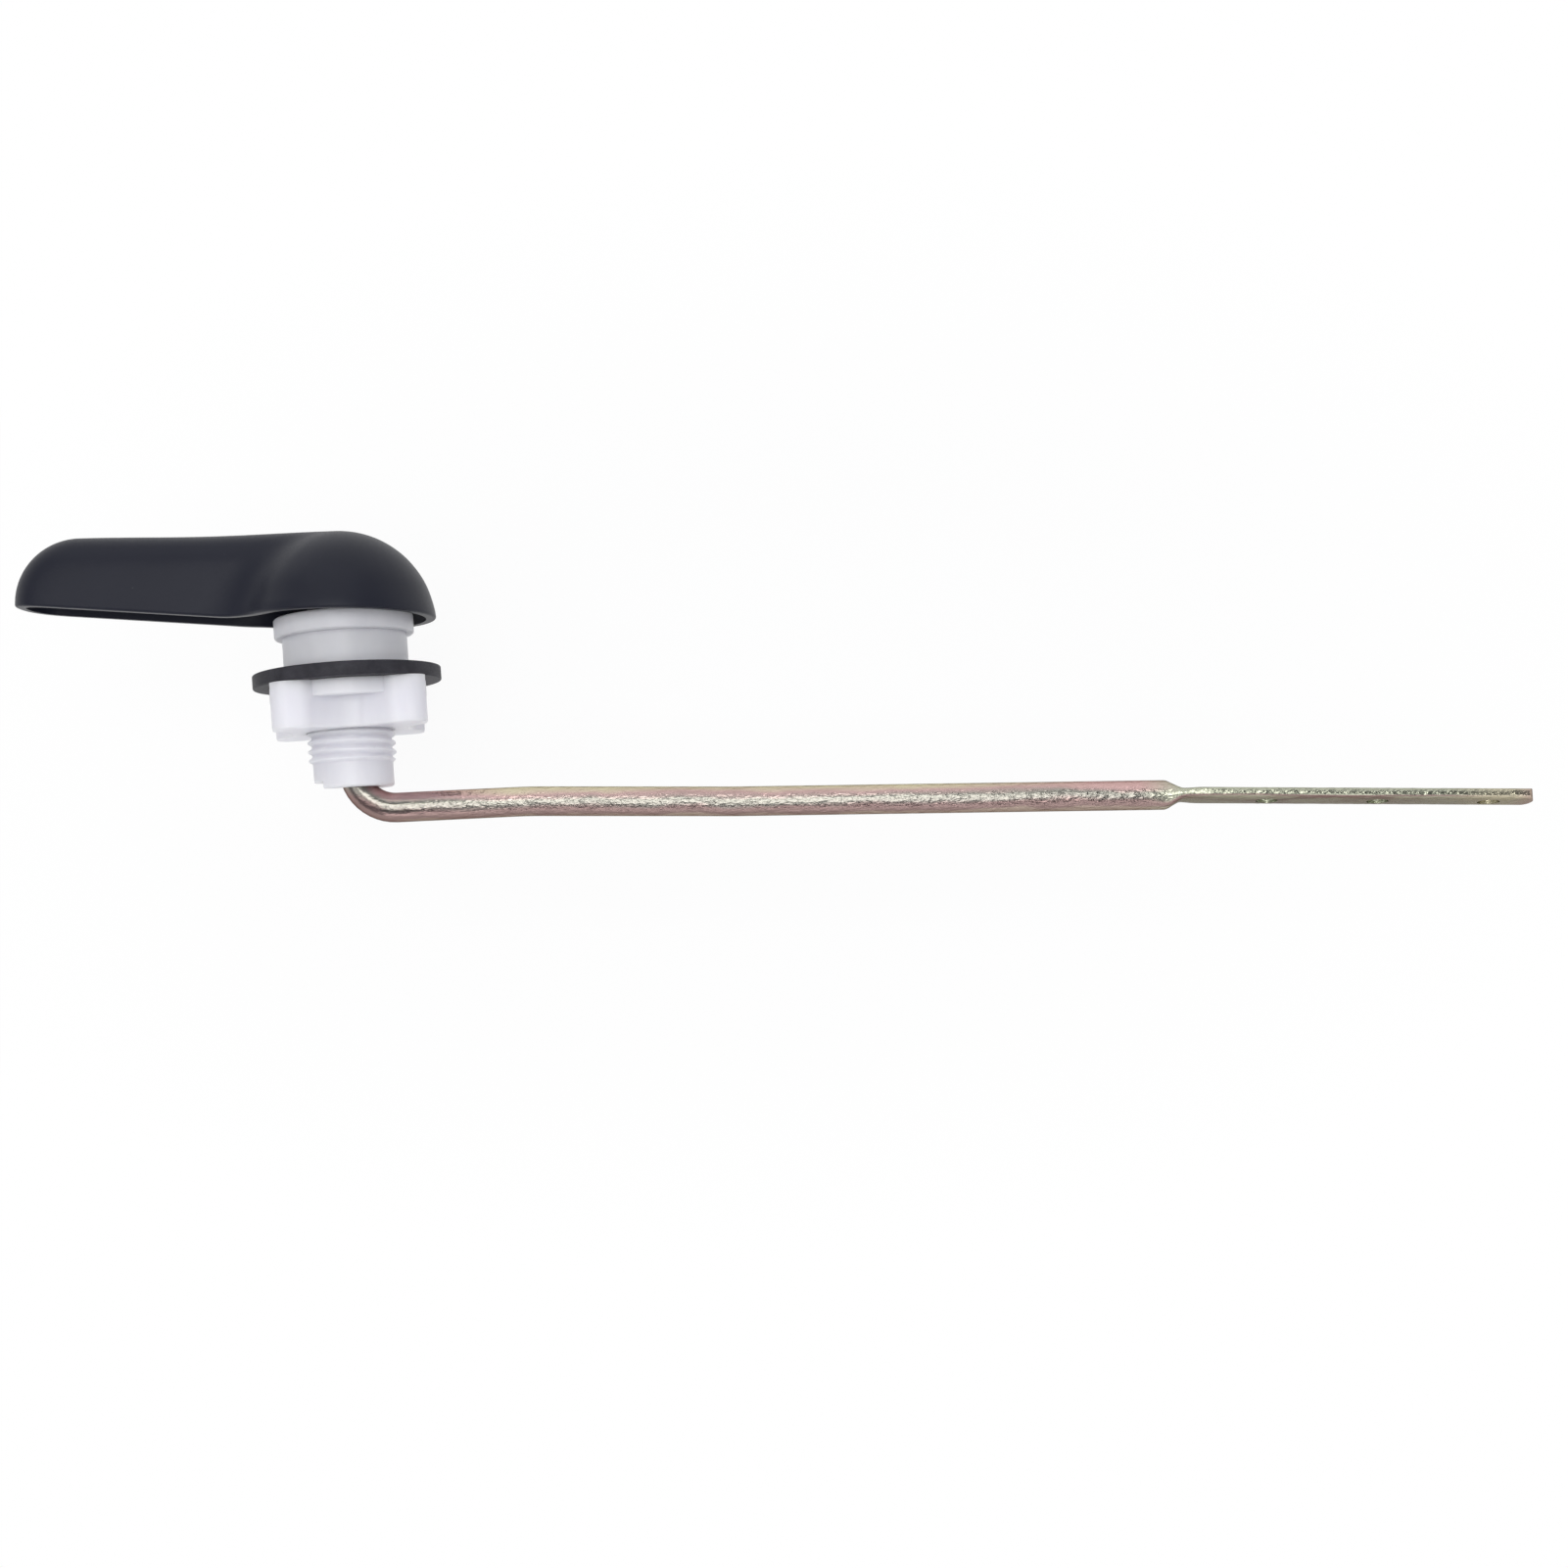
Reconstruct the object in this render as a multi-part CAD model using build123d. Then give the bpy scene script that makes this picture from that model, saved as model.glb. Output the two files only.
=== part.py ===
from build123d import *
import os
from math import asin, atan2, cos, degrees, hypot, radians, sin, sqrt, tan

# Cistern lever: a hollow handle outside the cistern wall and a bent rod inside it turn together in a bush,
# which a washer and a left-handed nut clamp to the wall.
# The pieces are drawn with the bush axis along Z: Z = 0 is the wall's outer face, the handle lies above it
# and points along +X, and the rod leaves along -X. The last section turns them to their fitted attitude.
# All sizes are in millimetres and degrees.

# Fits
running_clearance = 0.05
seat_gap = 0.05
stop_clearance = 0.1
rib_clearance = 0.4
thread_clearance = 0.1
washer_clearance = 0.35

# Rod
rod_radius = 3.0
bend_radius = 8.5
set_radius = 120.0
arm_gap = 1.3
first_run = 34.9
first_droop = 1.75
second_run = 41.6
second_droop = 4.55
third_run = 86.5
third_droop = 3.65
flat_length = 74.2
flat_droop = 4.8
flat_twist = 8.0
flat_width = 9.6
flat_thickness = 2.2
flat_squareness = 4.0
neck_length = 4.2
flare_length = 8.0
end_arc_radius = 7.3
chain_hole_radius = 2.2
chain_hole_pitch = 22.35
chain_hole_end = 8.6
chain_hole_count = 3
key_length = 12.0
key_across = 4.6

# Bush
barrel_radius = 12.45
barrel_length = 7.0
barrel_wall = 1.6
seat_width = 1.5
collar_height = 4.1
collar_round = 0.5
thread_radius = 8.75
thread_length = 19.0
thread_depth = 0.8
end_length = 4.8
end_chamfer = 0.3
notch_depth = 1.6
notch_half_angle = 75.0
notch_turned = 24.0
sleeve_wall = 2.0
pocket_floor = 2.0
stop_web = 2.0

# Washer
washer_radius = 18.8
washer_thickness = 2.8
washer_round = 0.3

# Nut
nut_height = 9.4
nut_side = 30.2
nut_corner = 3.4
nut_flange_radius = 15.6
nut_flange_height = 3.2
scallop_width = 16.4
scallop_depth = 3.4
scallop_round = 3.0
nut_round = 0.4
nut_turned = 11.4
seam_width = 0.4
seam_height = 0.25
seam_offset = 2.0

# Handle
handle_wall = 2.0
head_clearance = 3.15
head_offset = 0.55
head_crown = 19.5
head_lift = 2.05
rim_gap = 2.65
rim_round = 0.5
head_rim_rise = 3.0
arm_rim_rise = 7.9
rim_break = 21.6
rim_blend = 40.0
arm_length = 65.6
arm_width = 16.5
arm_crown = 9.0
arm_squareness = 2.6
arm_dip = 0.4
tip_radius = 13.3
neck_radius = 14.0
spindle_wall = 2.0
spindle_recess = 3.5
hub_radius = 7.0
hub_gap = 0.2
stop_rib = 3.0
stop_depth = 2.6
lever_travel = 40.0

# Levels along the bush axis, from the wall's outer face
shoulder_z = -barrel_length
thread_end_z = shoulder_z - thread_length
bush_end_z = thread_end_z - end_length
washer_top_z = shoulder_z - seat_gap
washer_bottom_z = washer_top_z - washer_thickness
nut_top_z = washer_bottom_z - seat_gap
spindle_end_z = bush_end_z + spindle_recess
arm_z = bush_end_z - arm_gap - rod_radius

# Radii shared by the pieces
collar_radius = barrel_radius + seat_width
end_radius = thread_radius - thread_depth
spindle_radius = rod_radius + spindle_wall
bore_radius = spindle_radius + running_clearance
sleeve_radius = bore_radius + sleeve_wall
pocket_radius = barrel_radius - barrel_wall
head_radius = collar_radius + head_clearance + handle_wall


def smooth(fraction):
    """Ease from 0 to 1 with level ends."""
    limited = min(max(fraction, 0.0), 1.0)
    return limited * limited * (3 - 2 * limited)


def blend(start, end, fraction):
    return start + (end - start) * smooth(fraction)


# Handle form, in a frame at the dome's centre: X along the arm's crown, Z square to it
rim_front_x = head_offset - head_radius
rim_break_z = rim_gap + (rim_break - rim_front_x) * tan(radians(head_rim_rise))
rim_tip_z = rim_break_z + (arm_length - rim_break) * tan(radians(arm_rim_rise))
tip_dx = arm_length - tip_radius - head_offset
tip_dz = rim_tip_z - head_lift
tip_drop = head_crown - tip_radius
arm_cant = degrees(atan2(tip_dz, tip_dx) - asin(tip_drop / hypot(tip_dx, tip_dz)))
tip_x = sqrt(tip_dx**2 + tip_dz**2 - tip_drop**2)
neck_centre_y = arm_width / 2 + neck_radius
neck_centre_x = sqrt((head_radius + neck_radius) ** 2 - neck_centre_y**2)
arm_spring = head_crown - arm_crown
skirt_z = -head_radius / 2
round_squareness = 2.0
neck_stations = 12
neck_crowding = 1.5
arm_stations = 6
flare_stations = 10
section_steps = 9
join_tolerance = 0.005
crown_steps = 6
STANDING = (Align.CENTER, Align.CENTER, Align.MIN)


def face_within(*curves):
    """Face inside a closed chain of curves."""
    return make_face([edge for curve in curves for edge in curve.edges()])


def rounded(share, squareness):
    """Width of a rounded top at a share of its height, from 1 at its spring to 0 at its crown."""
    return (1 - min(max(share, 0.0), 1.0) ** squareness) ** (1 / squareness)


def half_width(x, up, top, inset):
    """Half the handle's width at a height: the round dome, the concave neck and the upright arm."""
    dome = (head_radius - inset) * rounded(up / (head_crown - inset), round_squareness)
    arm = (arm_width / 2 - inset) * rounded((up - arm_spring) / (top - arm_spring), arm_squareness)
    neck = neck_radius + inset
    neck_x = sqrt(max((dome + neck) ** 2 - (arm + neck) ** 2, 0.0))
    if x < neck_x * dome / (dome + neck):
        return sqrt(dome**2 - x**2)
    if x < neck_x:
        return arm + neck - sqrt(neck**2 - (neck_x - x) ** 2)
    return arm


def half_section(x, inset):
    """One side of the handle's section, from the crown down to the dome's level; the crown dips a little
    between head and tip."""
    top = head_crown - inset - arm_dip * sin(radians(180 * x / tip_x)) ** 2
    shares = [step / section_steps for step in range(section_steps + 1)]
    heights = [top * (1 - share**2) for share in shares[1:]]
    points = [(0, top)] + [(half_width(x, up, top, inset), up) for up in heights]
    return Edge.make_spline(points, tangents=[(1, 0), (0, -1)], parameters=shares)


def handle_section(x, inset):
    """Section across the handle: a rounded top on sides that run straight down past the rim."""
    right = half_section(x, inset)
    left = mirror(right, about=Plane.YZ)
    foot = (right @ 1).X
    sides = Polyline((foot, 0), (foot, skirt_z), (-foot, skirt_z), (-foot, 0))
    return face_within(right, left, sides)


def handle_form(inset):
    """Outside of the handle, or its hollow when inset by the wall, with a skirt left below the rim."""
    quarter = half_section(0.0, inset)
    foot, top = quarter @ 1, quarter @ 0
    dome_edge = Polyline(foot, (foot.X, skirt_z), (0, skirt_z), top)
    dome = revolve(Plane.YZ * face_within(quarter, dome_edge), Axis.Z, 180)
    places = [neck_centre_x * (i / neck_stations) ** neck_crowding for i in range(neck_stations)]
    places += [neck_centre_x + (tip_x - neck_centre_x) * i / arm_stations for i in range(arm_stations + 1)]
    body = loft([Plane.YZ.offset(x) * handle_section(x, inset) for x in places])
    tip_plane = Plane.XY.offset(tip_drop)
    tip_section = split(body.faces().sort_by(Axis.X)[-1], tip_plane, keep=Keep.TOP)
    turn = Axis((tip_x, 0, tip_drop), (0, 1, 0))
    tip = revolve(tip_section, turn, 90)
    tip_skirt = extrude(tip_section.rotate(turn, 90), tip_drop - skirt_z, dir=(0, 0, -1))
    form = dome.fuse(body, tip, tip_skirt, tol=join_tolerance)
    return Pos(head_offset, 0, head_lift) * Rot(0, -arm_cant, 0) * form


def under_rim():
    """Everything below the handle's rim: level under the head, rising along the arm."""
    far_x = 2 * arm_length
    far_z = rim_break_z + (far_x - rim_break) * tan(radians(arm_rim_rise))
    near_x = -2 * head_radius
    near_z = rim_gap + (near_x - rim_front_x) * tan(radians(head_rim_rise))
    low_z = -2 * head_radius
    corner = (rim_break, rim_break_z)
    rim = FilletPolyline((near_x, near_z), corner, (far_x, far_z), radius=rim_blend)
    rest = Polyline((far_x, far_z), (far_x, low_z), (near_x, low_z), (near_x, near_z))
    return extrude(Plane.XZ * face_within(rim, rest), 2 * head_radius, both=True)


def rod_key(clearance):
    """Upper end of the rod, with two flats, or the end of the socket that takes it."""
    height = key_length + clearance
    bar = Cylinder(rod_radius + clearance, height, align=STANDING)
    slab = Box(3 * rod_radius, key_across + 2 * clearance, height, align=STANDING)
    return bar & slab


def make_handle():
    solid = handle_form(0.0)
    cutter = under_rim()
    trimmed = solid - cutter
    shell = fillet(new_edges(solid, cutter, combined=trimmed), rim_round) - handle_form(handle_wall)
    reach = head_lift + head_crown
    hub_z = collar_height + hub_gap
    hub = Pos(0, 0, hub_z) * Cylinder(hub_radius, reach, align=STANDING)
    rib = Pos(0, 0, collar_height - stop_depth) * Box(
        pocket_radius - rib_clearance, stop_rib, reach, align=(Align.MIN, Align.CENTER, Align.MIN)
    )
    rib -= Cylinder(sleeve_radius + rib_clearance, 2 * hub_z)
    core = (hub + rib) & handle_form(handle_wall / 2)
    spindle = Pos(0, 0, spindle_end_z) * Cylinder(spindle_radius, hub_z - spindle_end_z, align=STANDING)
    socket = Pos(0, 0, spindle_end_z) * Cylinder(
        rod_radius + running_clearance, -spindle_end_z, align=STANDING
    )
    return shell + core + spindle - socket - rod_key(running_clearance)


def make_bush():
    profile = Polyline(
        (bore_radius, collar_height),
        (collar_radius, collar_height),
        (collar_radius, 0),
        (barrel_radius, 0),
        (barrel_radius, shoulder_z),
        (thread_radius, shoulder_z),
        (thread_radius, thread_end_z),
        (end_radius, thread_end_z),
        (end_radius, bush_end_z + end_chamfer),
        (end_radius - end_chamfer, bush_end_z),
        (bore_radius, bush_end_z),
        close=True,
    )
    section = make_face(profile)
    collar_corners = [v for v in section.vertices() if abs(v.X - collar_radius) < collar_round]
    section = fillet(collar_corners, collar_round)
    body = revolve(Plane.XZ * section, Axis.Z)
    pocket_z = shoulder_z + pocket_floor
    pocket = Circle(pocket_radius) - Circle(sleeve_radius)
    ring = Pos(0, 0, pocket_z) * extrude(pocket, collar_height - pocket_z)
    web_y = stop_rib / 2 + stop_clearance + stop_web / 2
    web = Pos(0, web_y) * Rectangle(pocket_radius, stop_web, align=(Align.MIN, Align.CENTER))
    rest_web = Pos(0, 0, pocket_z) * extrude(web, collar_height - pocket_z)
    travel_web = Rot(0, 0, -lever_travel) * mirror(rest_web, about=Plane.XZ)
    ring -= rest_web + travel_web
    notch_edge = CenterArc((0, 0), 2 * end_radius, -notch_half_angle, 2 * notch_half_angle)
    sector = face_within(notch_edge, Polyline(notch_edge @ 1, (0, 0), notch_edge @ 0))
    notch = Pos(0, 0, bush_end_z) * Rot(0, 0, -notch_turned) * extrude(sector, notch_depth)
    return body - ring - notch


def make_washer():
    ring = Circle(washer_radius) - Circle(thread_radius + washer_clearance)
    washer = Pos(0, 0, washer_bottom_z) * extrude(ring, washer_thickness)
    rims = washer.edges().filter_by(GeomType.CIRCLE).sort_by(SortBy.RADIUS)
    return fillet(rims[2:], washer_round)


def round_end(prism, radius):
    """Round the edges of a prism's lower end face."""
    return fillet(prism.edges().group_by(Axis.Z)[0], radius)


def make_nut():
    half_side = nut_side / 2
    scallop_floor = half_side - scallop_depth
    scallop_radius = (scallop_width**2 / 4 + scallop_depth**2) / (2 * scallop_depth)
    scallop_y = scallop_floor + scallop_radius
    lobes = RectangleRounded(nut_side, nut_side, nut_corner)
    lobes -= PolarLocations(scallop_y, 4) * Circle(scallop_radius)
    lobe_middle = (scallop_width / 2 + half_side - nut_corner) / 2
    lobes = fillet([v for v in lobes.vertices() if min(abs(v.X), abs(v.Y)) < lobe_middle], scallop_round)
    body = round_end(extrude(lobes, -nut_height), nut_round)
    body += round_end(extrude(Circle(nut_flange_radius), -nut_flange_height), nut_round)
    seam = Pos(-seam_offset, scallop_floor) * Rectangle(seam_width, scallop_depth)
    seam -= Pos(0, scallop_y) * Circle(scallop_radius - seam_height)
    body += extrude(seam, nut_round - nut_height)
    body -= extrude(Circle(thread_radius + thread_clearance), -nut_height)
    return Pos(0, 0, nut_top_z) * Rot(0, 0, nut_turned) * body


def run_end(start, length, droop):
    """End of a straight run of the rod that leaves along -X and droops towards -Z."""
    return (start[0] - length * cos(radians(droop)), start[1] - length * sin(radians(droop)))


def across_plane(point, droop, twist):
    """Plane square to the rod at a point of its run: X across and turned about the run, Z along the run."""
    fall, turn = radians(droop), radians(twist)
    heading = (-cos(fall), 0, -sin(fall))
    across = (-sin(turn) * sin(fall), cos(turn), sin(turn) * cos(fall))
    return Plane(origin=(point[0], 0, point[1]), x_dir=across, z_dir=heading)


def crown(width, top, squareness):
    """One quarter of a section's outline, from the middle of its top round to its side."""
    points = [(0, top)]
    for step in range(1, crown_steps):
        angle = radians(90 * step / crown_steps)
        points.append((width * sin(angle) ** (2 / squareness), top * cos(angle) ** (2 / squareness)))
    points.append((width, 0))
    return Spline(*points, tangents=[(1, 0), (0, -1)])


def rod_section(half_across, half_thick, squareness):
    """Section of the flattened end: flat faces and full round edges."""
    right = crown(half_across, half_thick, squareness)
    left = mirror(right, about=Plane.YZ)
    return face_within(right, left, mirror(right, about=Plane.XZ), mirror(left, about=Plane.XZ))


def make_rod():
    first = run_end((0.0, arm_z), first_run, first_droop)
    second = run_end(first, second_run, second_droop)
    neck = run_end(second, third_run, third_droop)
    corners = [(0.0, 0.0), (0.0, arm_z), first, second, neck]
    route = [(x, 0, z) for x, z in corners]
    path = FilletPolyline(*route, radius=[bend_radius, set_radius, set_radius])
    bar = sweep(Circle(rod_radius), path=path)

    round_section = face_within(*[CenterArc((0, 0), rod_radius, 90 * i, 90) for i in range(4)])
    stations = [across_plane(neck, third_droop, flat_twist) * round_section]
    for step in range(1, flare_stations + 1):
        along = flare_length * step / flare_stations
        half_across = blend(rod_radius, flat_width / 2, along / flare_length)
        half_thick = blend(rod_radius, flat_thickness / 2, along / neck_length)
        squareness = blend(round_squareness, flat_squareness, along / flare_length)
        plane = across_plane(run_end(neck, along, flat_droop), flat_droop, flat_twist)
        stations.append(plane * rod_section(half_across, half_thick, squareness))
    flare = loft(stations)
    flat_plane = across_plane(neck, flat_droop, flat_twist)
    blade = extrude(stations[-1], flat_length - flare_length + end_arc_radius / 2, dir=flat_plane.z_dir)

    end_block = Pos(0, 0, flat_length) * Box(2 * flat_width, 2 * flat_width, 2 * end_arc_radius)
    end_arc = Rot(90, 0, 0) * Cylinder(end_arc_radius, 3 * flat_width)
    end_round = Pos(0, 0, flat_length - end_arc_radius) * end_arc
    blade -= flat_plane * (end_block - end_round)
    holes = [
        Pos(0, 0, flat_length - chain_hole_end - i * chain_hole_pitch)
        * Rot(90, 0, 0)
        * Cylinder(chain_hole_radius, 2 * flat_thickness)
        for i in range(chain_hole_count)
    ]
    blade -= [flat_plane * hole for hole in holes]
    return bar + flare + blade + rod_key(0.0)


fitted = Rot(90, 0, 0)
pieces = {
    "handle": make_handle(),
    "bush": make_bush(),
    "washer": make_washer(),
    "nut": make_nut(),
    "rod": make_rod(),
}
os.makedirs("parts", exist_ok=True)
for name, piece in pieces.items():
    export_step(fitted * piece, f"parts/{name}.step")
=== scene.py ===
from math import ceil, cos, hypot, radians, sin, tau

import bmesh
import bpy
from mathutils import Matrix, Vector


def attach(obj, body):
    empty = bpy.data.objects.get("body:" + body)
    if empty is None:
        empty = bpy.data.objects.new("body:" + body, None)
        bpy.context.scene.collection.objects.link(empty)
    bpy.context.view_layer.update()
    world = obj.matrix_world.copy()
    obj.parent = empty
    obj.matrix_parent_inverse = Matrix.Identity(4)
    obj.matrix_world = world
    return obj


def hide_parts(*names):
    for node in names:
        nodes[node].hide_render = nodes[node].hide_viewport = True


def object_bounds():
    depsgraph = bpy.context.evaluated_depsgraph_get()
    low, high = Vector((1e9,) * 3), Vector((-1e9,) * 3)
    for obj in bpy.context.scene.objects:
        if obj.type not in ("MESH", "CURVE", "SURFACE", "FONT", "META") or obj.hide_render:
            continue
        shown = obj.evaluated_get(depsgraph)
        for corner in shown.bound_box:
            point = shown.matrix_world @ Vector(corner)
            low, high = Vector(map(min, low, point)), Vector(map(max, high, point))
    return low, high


# Looks of the cistern lever. Lengths are in metres, in the part's own frame: the bush axis is Y,
# the handle lies outside the wall towards -Y and points along +X, and the rod runs inside the wall
# along -X.
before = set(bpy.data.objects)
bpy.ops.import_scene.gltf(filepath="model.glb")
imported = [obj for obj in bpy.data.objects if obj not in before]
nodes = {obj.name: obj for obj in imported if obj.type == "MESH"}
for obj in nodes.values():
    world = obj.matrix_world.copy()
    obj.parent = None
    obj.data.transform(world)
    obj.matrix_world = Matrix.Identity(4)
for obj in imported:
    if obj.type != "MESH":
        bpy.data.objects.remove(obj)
cad_low, cad_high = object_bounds()
mm = 0.001

# Thread of the bush, cut into the plain cylinder of the solid
thread_radius = 8.75 * mm
thread_root = 7.99 * mm
thread_end_radius = 7.95 * mm
thread_start = 7.0 * mm
thread_end = 26.0 * mm
thread_pitch = 1.8 * mm
thread_crest_share = 0.12
thread_root_share = 0.16
thread_run_out = 0.8 * mm
thread_columns = 96
thread_rows_per_turn = 12
thread_joint = 0.04 * mm
thread_weld = thread_joint / 10
smooth_angle = radians(32)

# Most of a noise lies between these two values
noise_low, noise_high = 0.3, 0.7

# Handle: slate satin moulding
handle_dark = (0.0098, 0.0112, 0.0205)
handle_light = (0.0128, 0.0142, 0.0245)
handle_drift_size = 18 * mm
handle_grain_size = 0.28 * mm
handle_grain_depth = 0.012 * mm
handle_grain_strength = 0.6
handle_smooth, handle_rough = 0.38, 0.48
handle_specular = 0.24
speck_colour = (0.06, 0.062, 0.07)
speck_size = 0.9 * mm
speck_edge, speck_full = 0.79, 0.83

# Bush and nut: natural white mouldings
bush_dark = (0.77, 0.765, 0.82)
bush_light = (0.82, 0.815, 0.86)
bush_scatter = 0.9
nut_dark = (0.785, 0.78, 0.83)
nut_light = (0.825, 0.82, 0.865)
nut_scatter = 1.0
scatter_radius = (1.0, 0.95, 0.95)
scatter_depth = 4.5 * mm
flow_size = 5 * mm
flow_stretch = (1.0, 0.35, 1.0)
flow_swirl = 0.4
ripple_size = 1.4 * mm
ripple_depth = 0.02 * mm
ripple_strength = 0.5
white_smooth, white_rough = 0.34, 0.46

# Washer: black rubber
rubber_dark = (0.0250, 0.0243, 0.0305)
rubber_dusty = (0.048, 0.0465, 0.056)
bloom_size = 3.5 * mm
bloom_low, bloom_high = 0.35, 0.75
skin_size = 0.35 * mm
skin_depth = 0.02 * mm
skin_strength = 0.6
rubber_smooth, rubber_rough = 0.5, 0.66
rubber_specular = 0.22

# Rod: the plating's film goes from gold on the side of the wall (-Y) to dull pink on the far side
# (+Y). Its lightness round the bar is painted light: lighter on the -Y side and darker towards +Y,
# as the light falls.
film_and_painted_light_stops = [
    (0.02, (0.70, 0.64, 0.45)),
    (0.22, (0.52, 0.36, 0.34)),
    (0.42, (0.295, 0.288, 0.250)),
    (0.58, (0.285, 0.268, 0.238)),
    (0.74, (0.31, 0.213, 0.20)),
    (0.93, (0.26, 0.182, 0.17)),
    (1.00, (0.38, 0.30, 0.25)),
]
film_and_painted_light_side_share = 0.5
film_drift_size = 7 * mm
film_drift_stretch = (0.28, 1.0, 1.0)
film_drift_swirl = 0.3
film_drift_low, film_drift_high = 0.25, 0.75
film_low, film_high = 0.32, 0.68

# Pink at both ends of the round bar and green on the beaten flat; at its tip a painted highlight
# in gold, then painted light in pink on the rounded end
bar_pink = (0.62, 0.41, 0.39)
bar_pink_bend = (-32 * mm, -18 * mm)
bar_pink_flat = (-148 * mm, -128 * mm)
bar_pink_film = (0.16, 0.34)
flat_green = (0.46, 0.475, 0.365)
flat_green_span = (-166 * mm, -158 * mm)
flat_edge_film = (0.66, 0.80)
flat_back_film = (0.90, 1.0)
flat_back_share = 0.6
tip_gold_painted_highlight = (0.60, 0.55, 0.40)
tip_gold_painted_highlight_span = (-228 * mm, -218 * mm)
tip_pink_painted_light = (0.58, 0.42, 0.38)
tip_pink_painted_light_span = (-236 * mm, -232 * mm)
tip_painted_light_share = 0.8
plating_tint = (0.33, 0.31, 0.29, 1.0)

# Pits of the plating, shallower round the bend
pit_size = 0.72 * mm
pit_stretch = (0.42, 1.0, 1.0)
pit_depth = 0.26 * mm
pit_low, pit_high = 0.35, 0.65
pit_rough, pit_smooth = 0.26, 0.14
pit_bend_span = (-24 * mm, -10 * mm)
pit_bend_strength = 0.3

# Camera: it looks down on the lever, a little from inside the wall
view_centre = Vector((-86.6, 36.75, 0.0)) * mm
view_elevation = radians(3.0)
view_roll = radians(4.5)
view_width = 317 * mm
view_distance = 0.43
sensor_width = 36.0

# Floor: far enough down for the handle's arm to clear it at the end of its turn
floor_drop = 36 * mm
floor_size = 8.0
floor_colour = (0.95, 0.95, 0.95, 1.0)
floor_shadow = 0.10
shadow_reach = 0.05
shadow_end = 0.13
shadow_shape = (0.6, 1.0, 1.0)

# Tent of light around the lever
tent_colour = (0.93, 0.94, 1.0, 1.0)
tent_left = 0.40
tent_right = 0.55
tent_below = 0.75
tent_opening = 0.12
tent_edge_inner = radians(26)
tent_edge_outer = radians(44)
backdrop_colour = (1.0, 1.0, 1.0, 1.0)
backdrop_low = radians(10)
backdrop_high = radians(24)

# Soft boxes: name, place, width, height and power in watts
soft_boxes = [
    ("key", (0.0, -1.0, 0.75), 1.4, 0.7, 2.6),
    ("front_left", (0.64, -0.05, 1.1), 0.60, 1.1, 2.3),
    ("front_right", (-0.06, 0.0, 1.1), 0.62, 0.9, 6.2),
    ("low_fill", (-0.1, 1.0, 0.5), 1.2, 0.5, 2.4),
]
soft_box_aim = Vector((-0.05, 0.02, 0.0))


def smooth(share):
    """Step from 0 to 1 with soft ends."""
    limited = min(max(share, 0.0), 1.0)
    return limited * limited * (3 - 2 * limited)


# Shader building
def new_material(name):
    """A new material, its node tree and its principled shader."""
    material = bpy.data.materials.new(name)
    material.use_nodes = True
    return material, material.node_tree, material.node_tree.nodes["Principled BSDF"]


def fill(tree, socket, value):
    """Links an output socket to the input socket, or sets the input to a plain value."""
    if isinstance(value, bpy.types.NodeSocket):
        tree.links.new(value, socket)
    else:
        socket.default_value = value


def add(tree, kind, values=None, **settings):
    """A node with its settings and input values."""
    node = tree.nodes.new(kind)
    for key, value in settings.items():
        setattr(node, key, value)
    for key, value in (values or {}).items():
        fill(tree, node.inputs[key], value)
    return node


def combine(tree, operation, *terms):
    """Result of a math node on sockets or numbers."""
    return add(tree, "ShaderNodeMath", dict(enumerate(terms)), operation=operation).outputs[0]


def place(tree, stretch=(1.0, 1.0, 1.0)):
    """Coordinates on the object, in metres, scaled along its axes."""
    coordinates = add(tree, "ShaderNodeTexCoord").outputs["Object"]
    values = {"Vector": coordinates, "Scale": stretch}
    return add(tree, "ShaderNodeMapping", values).outputs["Vector"]


def axis(tree, vector, name):
    """One coordinate of a vector."""
    return add(tree, "ShaderNodeSeparateXYZ", {"Vector": vector}).outputs[name]


def noise(tree, vector, size, detail=3.0, roughness=0.5, distortion=0.0):
    """Noise whose features are about the given size in metres."""
    values = {"Vector": vector, "Scale": 1 / size, "Detail": detail, "Roughness": roughness}
    values["Distortion"] = distortion
    return add(tree, "ShaderNodeTexNoise", values).outputs["Fac"]


def ramp(tree, factor, stops):
    """Colour ramp through (position, colour) stops."""
    node = add(tree, "ShaderNodeValToRGB", {"Fac": factor})
    elements = node.color_ramp.elements
    elements[0].position, elements[0].color = stops[0][0], (*stops[0][1], 1.0)
    elements[1].position, elements[1].color = stops[-1][0], (*stops[-1][1], 1.0)
    for position, colour in stops[1:-1]:
        elements.new(position).color = (*colour, 1.0)
    return node.outputs["Color"]


def spread(tree, factor, low, high, start=0.0, end=1.0):
    """A factor between start and end carried to the range from low to high."""
    values = {"Value": factor, "From Min": start, "From Max": end, "To Min": low, "To Max": high}
    return add(tree, "ShaderNodeMapRange", values).outputs["Result"]


def cover(tree, share, below, colour):
    """A colour laid over another by a share. The mix node's sockets for colours go by number,
    because its sockets for other kinds of data have the same names."""
    node = add(tree, "ShaderNodeMix", {0: share, 6: below, 7: (*colour, 1.0)}, data_type="RGBA")
    return node.outputs[2]


def bump(tree, shader, height, depth, strength):
    """Relief of the given depth in metres; the strength may be a number or a socket."""
    values = {"Height": height, "Distance": depth, "Strength": strength}
    node = add(tree, "ShaderNodeBump", values)
    tree.links.new(node.outputs["Normal"], shader.inputs["Normal"])


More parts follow.
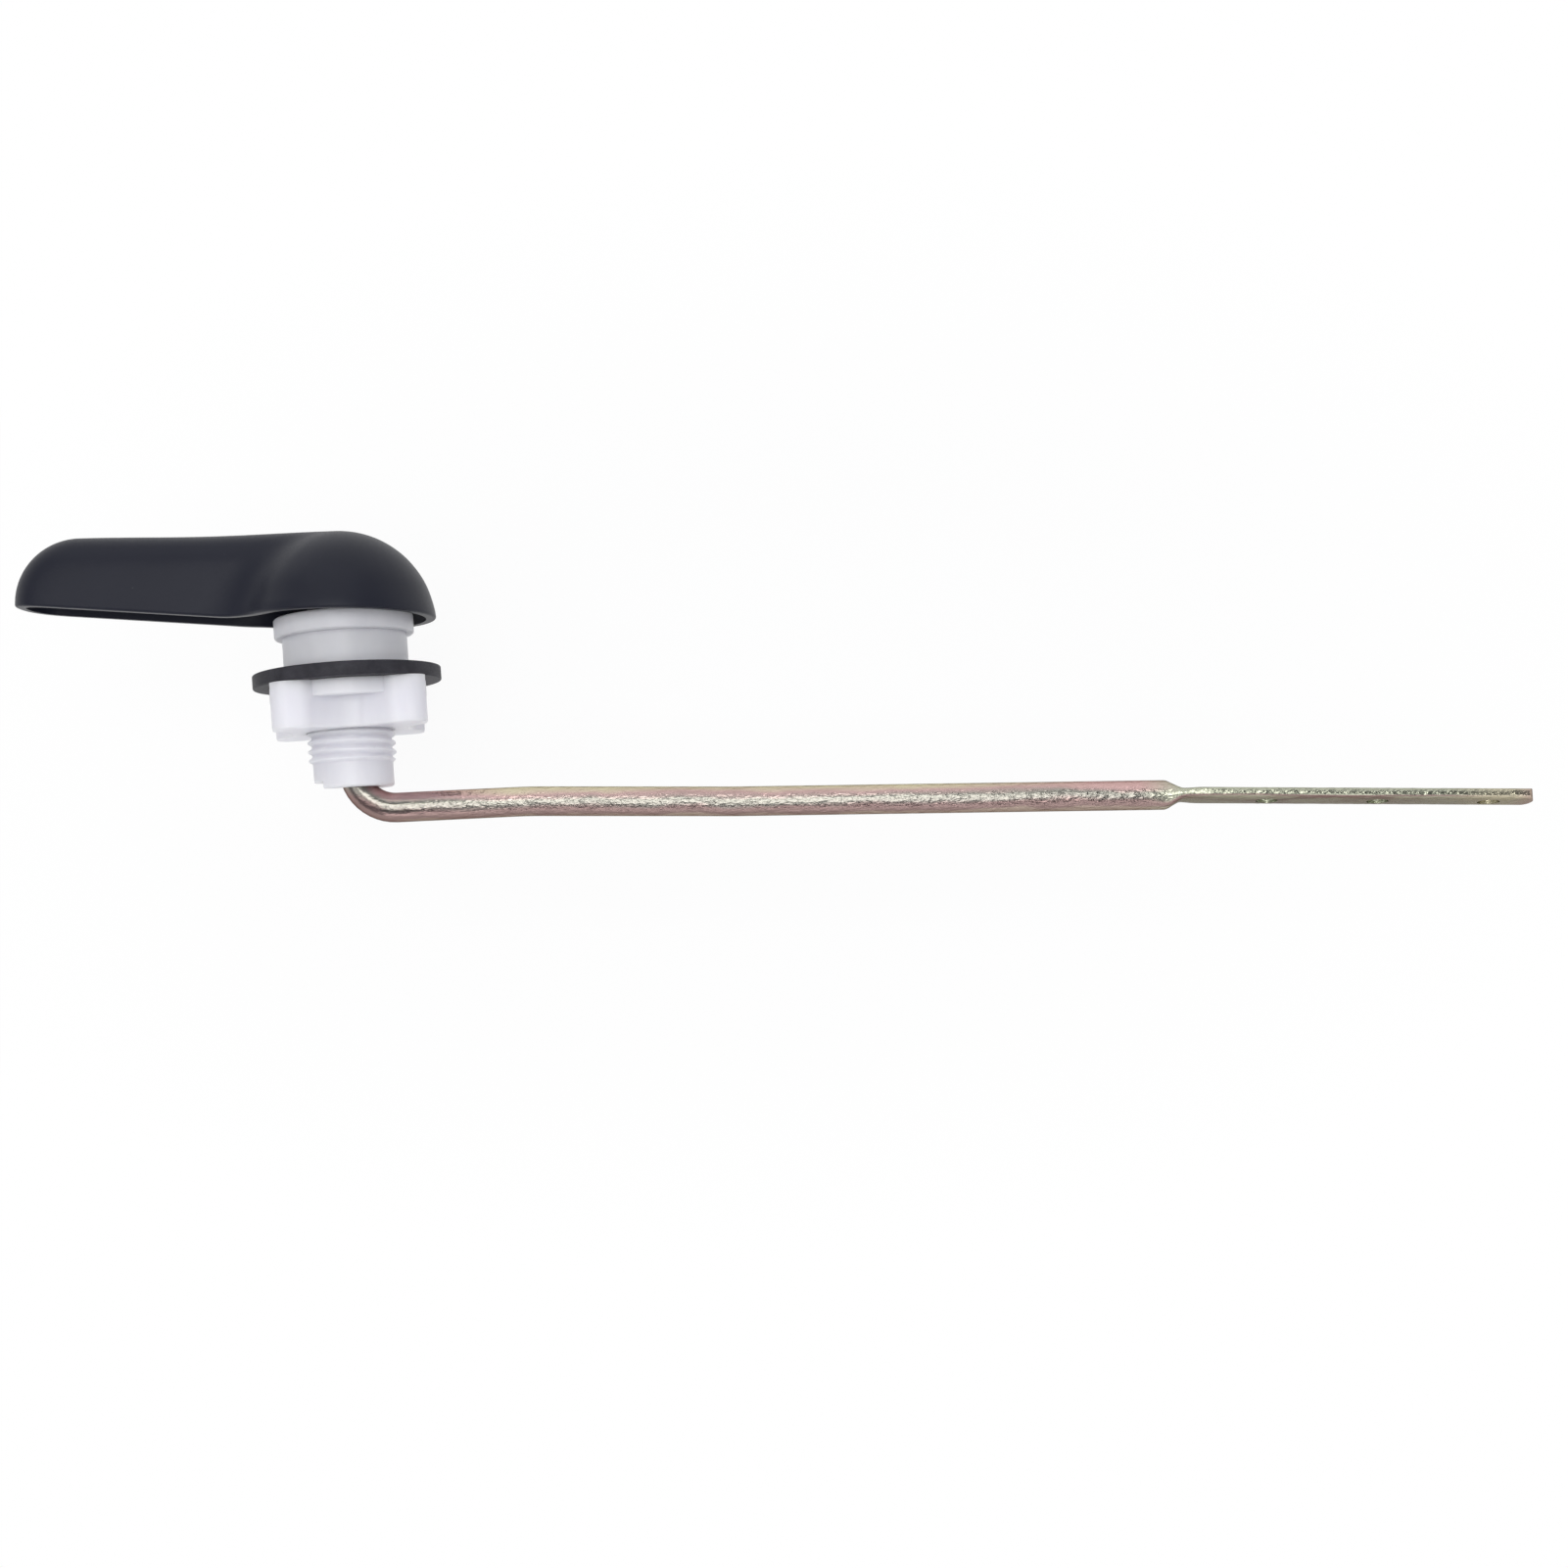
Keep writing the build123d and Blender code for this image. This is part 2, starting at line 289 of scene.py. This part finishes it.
# Materials
def handle_material():
    """Dark slate satin moulding with a fine spark-eroded grain and a few specks."""
    material, tree, shader = new_material("handle_satin")
    where = place(tree)
    drift = noise(tree, where, handle_drift_size)
    grain = noise(tree, where, handle_grain_size, roughness=0.6)
    base = ramp(tree, drift, [(noise_low, handle_dark), (noise_high, handle_light)])
    specks = noise(tree, where, speck_size, detail=1.0)
    speck = spread(tree, specks, 0.0, 1.0, speck_edge, speck_full)
    rough = spread(tree, grain, handle_smooth, handle_rough, noise_low, noise_high)
    fill(tree, shader.inputs["Base Color"], cover(tree, speck, base, speck_colour))
    fill(tree, shader.inputs["Roughness"], rough)
    shader.inputs["Specular IOR Level"].default_value = handle_specular
    bump(tree, shader, grain, handle_grain_depth, handle_grain_strength)
    return material


def white_plastic(name, dark, light, scatter):
    """Natural white moulding: a little light goes in, with faint flow marks and a soft gloss."""
    material, tree, shader = new_material(name)
    flow_place = place(tree, flow_stretch)
    flow = noise(tree, flow_place, flow_size, roughness=0.55, distortion=flow_swirl)
    ripple = noise(tree, place(tree), ripple_size, roughness=0.55)
    base = ramp(tree, flow, [(noise_low, dark), (noise_high, light)])
    rough = spread(tree, ripple, white_smooth, white_rough, noise_low, noise_high)
    fill(tree, shader.inputs["Base Color"], base)
    fill(tree, shader.inputs["Roughness"], rough)
    shader.inputs["Subsurface Weight"].default_value = scatter
    shader.inputs["Subsurface Radius"].default_value = scatter_radius
    shader.inputs["Subsurface Scale"].default_value = scatter_depth
    bump(tree, shader, ripple, ripple_depth, ripple_strength)
    return material


def rubber_material():
    """Black rubber with a dusty bloom and a fine skin."""
    material, tree, shader = new_material("washer_rubber_black")
    where = place(tree)
    bloom = noise(tree, where, bloom_size, detail=4.0, roughness=0.65)
    skin = noise(tree, where, skin_size, roughness=0.6)
    base = ramp(tree, bloom, [(bloom_low, rubber_dark), (bloom_high, rubber_dusty)])
    rough = spread(tree, skin, rubber_smooth, rubber_rough, noise_low, noise_high)
    fill(tree, shader.inputs["Base Color"], base)
    fill(tree, shader.inputs["Roughness"], rough)
    shader.inputs["Specular IOR Level"].default_value = rubber_specular
    bump(tree, shader, skin, skin_depth, skin_strength)
    return material


def plated_material():
    """Yellow-passivated zinc on drawn bar: a gold, pink, grey-green and mauve film over a pitted
    and streaky skin. The film follows which way the surface faces, and so does painted light:
    lighter on the side facing -Y, darker towards +Y. The gold and the pink at the tip are painted
    light as well."""
    material, tree, shader = new_material("rod_plating")
    side = axis(tree, add(tree, "ShaderNodeTexCoord").outputs["Normal"], "Y")
    along = axis(tree, place(tree), "X")
    drift_place = place(tree, film_drift_stretch)
    drift = noise(tree, drift_place, film_drift_size, roughness=0.6, distortion=film_drift_swirl)
    level = spread(tree, drift, film_low, film_high, film_drift_low, film_drift_high)
    # Painted light: the facing side sets the film's hue and also its lightness, lighter towards -Y
    # and darker towards +Y.
    film_and_painted_light = combine(tree, "MULTIPLY_ADD", side, film_and_painted_light_side_share, level)
    base = ramp(tree, film_and_painted_light, film_and_painted_light_stops)

    near_bend = spread(tree, along, 0.0, 1.0, *bar_pink_bend)
    near_flat = spread(tree, along, 1.0, 0.0, *bar_pink_flat)
    upper = spread(tree, film_and_painted_light, 1.0, 0.0, *bar_pink_film)
    pink = combine(tree, "MULTIPLY", combine(tree, "MAXIMUM", near_bend, near_flat), upper)
    base = cover(tree, pink, base, bar_pink)

    beaten = spread(tree, along, 1.0, 0.0, *flat_green_span)
    edge = spread(tree, film_and_painted_light, 1.0, 0.0, *flat_edge_film)
    back = spread(tree, film_and_painted_light, 0.0, flat_back_share, *flat_back_film)
    green = combine(tree, "MULTIPLY", beaten, combine(tree, "MAXIMUM", edge, back))
    base = cover(tree, green, base, flat_green)

    # Painted highlight in pale gold over the end of the flat, then painted light in pink on its
    # rounded tip.
    base = cover(tree, spread(tree, along, tip_painted_light_share, 0.0, *tip_gold_painted_highlight_span), base, tip_gold_painted_highlight)
    base = cover(tree, spread(tree, along, tip_painted_light_share, 0.0, *tip_pink_painted_light_span), base, tip_pink_painted_light)

    pits = noise(tree, place(tree, pit_stretch), pit_size, roughness=0.55)
    rough = spread(tree, pits, pit_rough, pit_smooth, pit_low, pit_high)
    fill(tree, shader.inputs["Base Color"], base)
    fill(tree, shader.inputs["Roughness"], rough)
    shader.inputs["Metallic"].default_value = 1.0
    shader.inputs["Specular Tint"].default_value = plating_tint
    strength = spread(tree, along, 1.0, pit_bend_strength, *pit_bend_span)
    bump(tree, shader, pits, pit_depth, strength)
    return material


# Bush with its thread
def thread_reach(phase):
    """Height of the thread's profile over one turn, from 0 at the root to 1 at the crest."""
    from_crest = abs((phase + 0.5) % 1.0 - 0.5)
    flank = 0.5 - (thread_crest_share + thread_root_share) / 2
    return smooth(1 - (from_crest - thread_crest_share / 2) / flank)


def thread_point(angle, along):
    """Point of the threaded skin. The thread is left-handed, so it falls as the angle grows."""
    phase = along / thread_pitch + angle / tau
    fade = smooth((thread_end - along) / thread_run_out)
    reach = thread_reach(phase) * fade
    floor_radius = thread_end_radius + (thread_root - thread_end_radius) * fade
    radius = floor_radius + (thread_radius - floor_radius) * reach
    return Vector((radius * sin(angle), along, radius * cos(angle)))


def is_thread_face(face):
    """True on the solid's plain thread cylinder and on the step at its end."""
    from_axis = [abs(hypot(v.co.x, v.co.z) - thread_radius) for v in face.verts]
    from_step = [abs(v.co.y - thread_end) for v in face.verts]
    return max(from_axis) < thread_joint or max(from_step) < thread_joint


def threaded_bush():
    """Copy of the bush with a helical skin in place of its plain thread cylinder."""
    bm = bmesh.new()
    bm.from_mesh(nodes["bush"].data)
    bmesh.ops.remove_doubles(bm, verts=bm.verts, dist=thread_weld)
    plain = [f for f in bm.faces if is_thread_face(f)]
    bmesh.ops.delete(bm, geom=plain, context="FACES")
    open_edges = [e for e in bm.edges if e.is_boundary]

    first, last = thread_start + thread_joint, thread_end - thread_joint
    steps = ceil((last - first) / thread_pitch * thread_rows_per_turn)
    angles = [tau * column / thread_columns for column in range(thread_columns)]
    rows = []
    for step in range(steps + 1):
        along = first + (last - first) * step / steps
        rows.append([bm.verts.new(thread_point(angle, along)) for angle in angles])
    columns = [(c, (c + 1) % thread_columns) for c in range(thread_columns)]
    for upper, lower in zip(rows, rows[1:]):
        for c, after in columns:
            bm.faces.new((upper[c], upper[after], lower[after], lower[c]))
    for ring, level in ((rows[0], thread_start), (rows[-1], thread_end)):
        loop = [e for e in open_edges if abs(e.verts[0].co.y - level) < thread_weld]
        around = [bm.edges.get((ring[c], ring[after])) for c, after in columns]
        bmesh.ops.bridge_loops(bm, edges=loop + around)
    bmesh.ops.recalc_face_normals(bm, faces=bm.faces)

    mesh = bpy.data.meshes.new("threaded_bush")
    bm.to_mesh(mesh)
    bm.free()
    if "custom_normal" in mesh.attributes:
        mesh.attributes.remove(mesh.attributes["custom_normal"])
    mesh.shade_smooth()
    mesh.set_sharp_from_angle(angle=smooth_angle)
    piece = bpy.data.objects.new("threaded_bush", mesh)
    bpy.context.scene.collection.objects.link(piece)
    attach(piece, "bush")
    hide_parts("bush")
    return piece


def paint(piece, material):
    """Gives a piece one material."""
    piece.data.materials.clear()
    piece.data.materials.append(material)


# Studio
def seen_directly(tree):
    """1 for what the camera sees, also by reflection or through something clear, and 0 for light
    on the part."""
    rays = add(tree, "ShaderNodeLightPath").outputs
    seen = combine(tree, "MAXIMUM", rays["Is Camera Ray"], rays["Is Glossy Ray"])
    return combine(tree, "MAXIMUM", seen, rays["Is Transmission Ray"])


def pale_floor():
    """Floor that shows as white to the camera and in reflections, and takes the soft shadow near
    the lever."""
    mesh = bpy.data.meshes.new("floor")
    half = floor_size / 2
    corners = [(-half, -half, 0.0), (half, -half, 0.0), (half, half, 0.0), (-half, half, 0.0)]
    mesh.from_pydata(corners, [], [(0, 1, 2, 3)])
    piece = bpy.data.objects.new("floor", mesh)
    middle = (cad_low + cad_high) / 2
    piece.location = (middle.x, middle.y, cad_low.z - floor_drop)
    bpy.context.scene.collection.objects.link(piece)
    material, tree, shader = new_material("floor_white")
    tree.nodes.remove(shader)
    matte = add(tree, "ShaderNodeBsdfDiffuse", {"Color": floor_colour}).outputs[0]
    glow = add(tree, "ShaderNodeEmission", {"Strength": 1.0}).outputs[0]
    spot = {0: place(tree, shadow_shape)}
    away = add(tree, "ShaderNodeVectorMath", spot, operation="LENGTH").outputs["Value"]
    glowing = spread(tree, away, 1 - floor_shadow, 1.0, shadow_reach, shadow_end)
    share = combine(tree, "MULTIPLY", seen_directly(tree), glowing)
    blend = add(tree, "ShaderNodeMixShader", {0: share, 1: matte, 2: glow}).outputs[0]
    fill(tree, tree.nodes["Material Output"].inputs["Surface"], blend)
    mesh.materials.append(material)


def studio_world():
    """Soft tent around the lever: a little brighter on the rod's side, dimmer towards +Y, and
    nearly dark over the top, where the camera stands. Low down it shows as white, past the
    floor."""
    world = bpy.data.worlds.new("studio")
    world.use_nodes = True
    tree = world.node_tree
    direction = add(tree, "ShaderNodeTexCoord").outputs["Generated"]
    axes = add(tree, "ShaderNodeSeparateXYZ", {"Vector": direction}).outputs
    sides = spread(tree, axes["X"], tent_right, tent_left, -1.0, 1.0)
    ends = spread(tree, axes["Y"], 1.0, tent_below, -1.0, 1.0)
    edges = (cos(tent_edge_outer), cos(tent_edge_inner))
    opening = spread(tree, axes["Z"], 1.0, tent_opening, *edges)
    level = combine(tree, "MULTIPLY", combine(tree, "MULTIPLY", sides, ends), opening)
    light = tree.nodes["Background"]
    light.inputs["Color"].default_value = tent_colour
    fill(tree, light.inputs["Strength"], level)
    values = {"Color": backdrop_colour, "Strength": 1.0}
    white = add(tree, "ShaderNodeBackground", values).outputs[0]
    band = spread(tree, axes["Z"], 1.0, 0.0, sin(backdrop_low), sin(backdrop_high))
    seen = combine(tree, "MULTIPLY", band, seen_directly(tree))
    blend = add(tree, "ShaderNodeMixShader", {0: seen, 1: light.outputs[0], 2: white}).outputs[0]
    fill(tree, tree.nodes["World Output"].inputs["Surface"], blend)
    bpy.context.scene.world = world


def oriented(right, up, back, spot):
    """Placement with the given axes at a spot."""
    return Matrix.Translation(spot) @ Matrix((right, up, back)).transposed().to_4x4()


def soft_box(name, spot, width, height, power):
    """Area lamp that faces the lever, its width along X."""
    lamp = bpy.data.lights.new(name, "AREA")
    lamp.shape = "RECTANGLE"
    lamp.size, lamp.size_y = width, height
    lamp.energy = power
    piece = bpy.data.objects.new(name, lamp)
    back = (Vector(spot) - soft_box_aim).normalized()
    across = (Vector((1, 0, 0)) - back * back.x).normalized()
    piece.matrix_world = oriented(across, back.cross(across), back, spot)
    bpy.context.scene.collection.objects.link(piece)


def photo_camera():
    """Camera of the photograph, turned about its own axis by the view's roll."""
    back = Vector((0, sin(view_elevation), cos(view_elevation)))
    level_up = Vector((0, -cos(view_elevation), sin(view_elevation)))
    along_rod = Vector((-1, 0, 0))
    right = along_rod * cos(view_roll) - level_up * sin(view_roll)
    up = level_up * cos(view_roll) + along_rod * sin(view_roll)
    lens = bpy.data.cameras.new("camera")
    lens.sensor_fit = "HORIZONTAL"
    lens.sensor_width = sensor_width
    lens.lens = sensor_width * view_distance / view_width
    piece = bpy.data.objects.new("camera", lens)
    piece.matrix_world = oriented(right, up, back, view_centre + back * view_distance)
    bpy.context.scene.collection.objects.link(piece)
    bpy.context.scene.camera = piece


paint(threaded_bush(), white_plastic("bush_white", bush_dark, bush_light, bush_scatter))
paint(nodes["nut"], white_plastic("nut_white", nut_dark, nut_light, nut_scatter))
paint(nodes["handle"], handle_material())
paint(nodes["washer"], rubber_material())
paint(nodes["rod"], plated_material())
pale_floor()
studio_world()
for box in soft_boxes:
    soft_box(*box)
photo_camera()
bpy.context.scene.view_settings.view_transform = "Standard"
